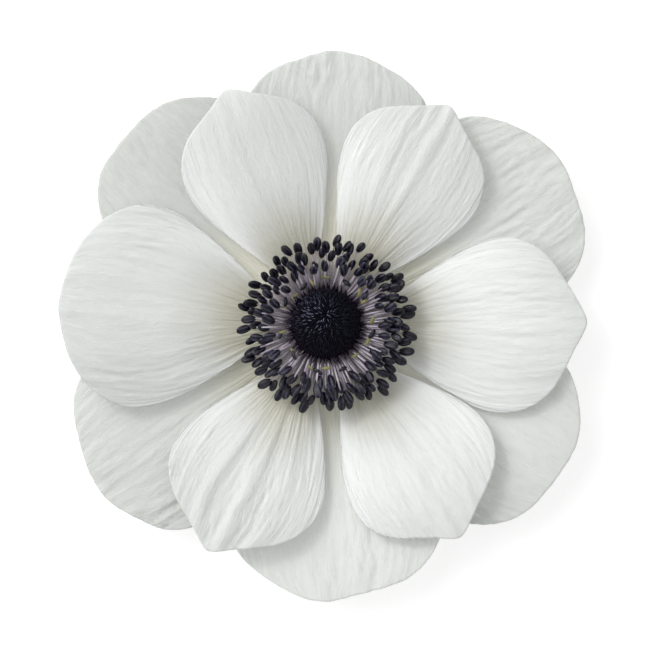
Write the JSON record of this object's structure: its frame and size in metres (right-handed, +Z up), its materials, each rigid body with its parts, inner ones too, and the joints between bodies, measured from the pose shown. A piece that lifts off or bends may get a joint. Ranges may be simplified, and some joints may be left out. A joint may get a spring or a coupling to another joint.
{
  "type": "anemone flower",
  "caption": "Open white anemone flower head with two rings of broad petals round a dark domed centre and dark stamens, cut just under the bloom and lying face up.",
  "frame": {"origin": "on the flower's axis, at the height of the surface that the backs of its outer petals rest on", "axes": "+Z up out of the flower's face, along its axis; +Y towards the petal at the top of the bloom as it faces the viewer; +X to the viewer's right"},
  "size_m": [0.0898, 0.0943, 0.0141],
  "materials": {
    "petal_white": "satin white petal tissue, thin and faintly translucent, with fine veins fanning from the base and a grey-green tint towards it",
    "pistil_black": "velvety blue-black styles with a cold sheen",
    "stamen_navy": "satin blue-black anthers on lilac-grey filaments",
    "receptacle_green": "matte downy green stem tissue, paler where it is cut"
  },
  "bodies": {
    "root": {"receptacle": "receptacle_green", "pistil_dome": "pistil_black", "outer_petal_1": "petal_white", "outer_petal_2": "petal_white", "outer_petal_3": "petal_white", "outer_petal_4": "petal_white", "outer_petal_5": "petal_white", "outer_petal_6": "petal_white", "inner_petal_1": "petal_white", "inner_petal_2": "petal_white", "inner_petal_3": "petal_white", "inner_petal_4": "petal_white", "inner_petal_5": "petal_white", "inner_petal_6": "petal_white", "stamen_outer_01": "stamen_navy", "stamen_outer_02": "stamen_navy", "stamen_outer_03": "stamen_navy", "stamen_outer_04": "stamen_navy", "stamen_outer_05": "stamen_navy", "stamen_outer_06": "stamen_navy", "stamen_outer_07": "stamen_navy", "stamen_outer_08": "stamen_navy", "stamen_outer_09": "stamen_navy", "stamen_outer_10": "stamen_navy", "stamen_outer_11": "stamen_navy", "stamen_outer_12": "stamen_navy", "stamen_outer_13": "stamen_navy", "stamen_outer_14": "stamen_navy", "stamen_outer_15": "stamen_navy", "stamen_middle_01": "stamen_navy", "stamen_middle_02": "stamen_navy", "stamen_middle_03": "stamen_navy", "stamen_middle_04": "stamen_navy", "stamen_middle_05": "stamen_navy", "stamen_middle_06": "stamen_navy", "stamen_middle_07": "stamen_navy", "stamen_middle_08": "stamen_navy", "stamen_middle_09": "stamen_navy", "stamen_middle_10": "stamen_navy", "stamen_middle_11": "stamen_navy", "stamen_middle_12": "stamen_navy", "stamen_middle_13": "stamen_navy", "stamen_middle_14": "stamen_navy", "stamen_middle_15": "stamen_navy", "stamen_inner_01": "stamen_navy", "stamen_inner_02": "stamen_navy", "stamen_inner_03": "stamen_navy", "stamen_inner_04": "stamen_navy", "stamen_inner_05": "stamen_navy", "stamen_inner_06": "stamen_navy", "stamen_inner_07": "stamen_navy", "stamen_inner_08": "stamen_navy", "stamen_inner_09": "stamen_navy", "stamen_inner_10": "stamen_navy", "stamen_inner_11": "stamen_navy", "stamen_inner_12": "stamen_navy", "stamen_inner_13": "stamen_navy", "stamen_inner_14": "stamen_navy", "stamen_inner_15": "stamen_navy"}
  },
  "joints": []
}
